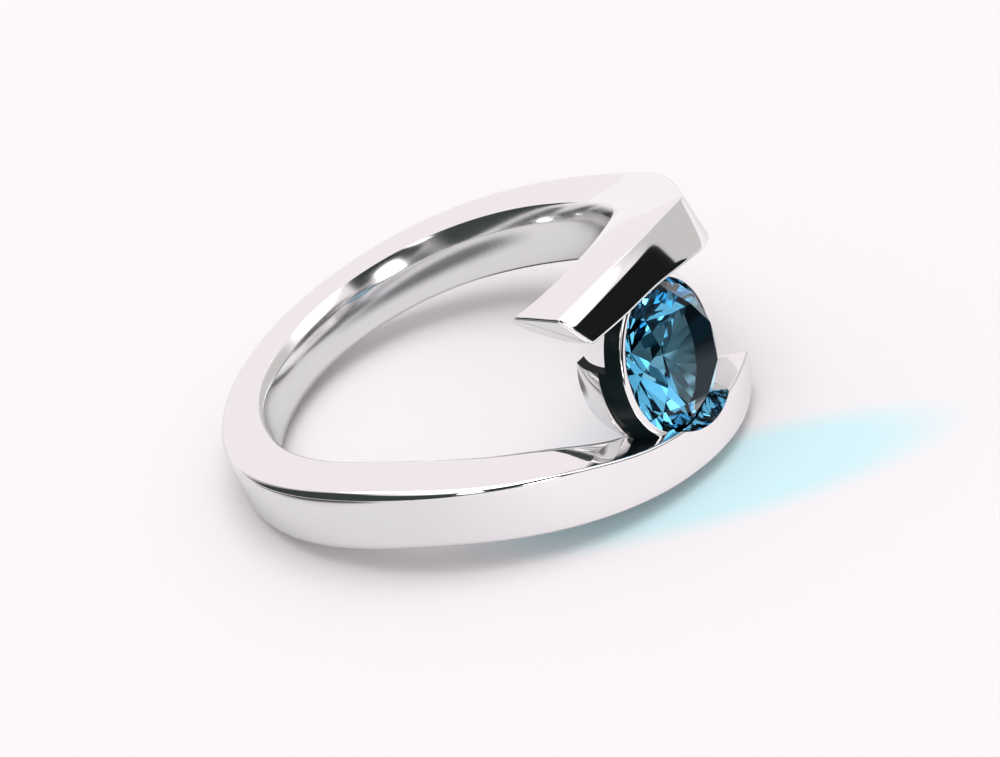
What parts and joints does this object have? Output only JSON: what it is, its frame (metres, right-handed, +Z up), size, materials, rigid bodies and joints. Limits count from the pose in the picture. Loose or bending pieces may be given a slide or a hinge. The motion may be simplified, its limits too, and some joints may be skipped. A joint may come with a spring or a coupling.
{
  "type": "bypass ring with a round bezel-set stone",
  "caption": "White metal bypass ring whose band ends pass each other above and below a round bright blue topaz held in a half-open bezel cup",
  "frame": {"origin": "centre of the finger hole, half-way along its axis", "axes": "+Z is up and is the ring's shortest extent as it lies on its side; the head with the stone points to +X; the hole's axis leans 11 degrees from +Z"},
  "size_m": [0.0223, 0.0212, 0.0098],
  "materials": {
    "white_metal": "mirror-polished sterling silver",
    "blue_topaz": "clear faceted blue stone"
  },
  "bodies": {
    "root": {"band": "white_metal", "gemstone": "blue_topaz"}
  },
  "joints": []
}
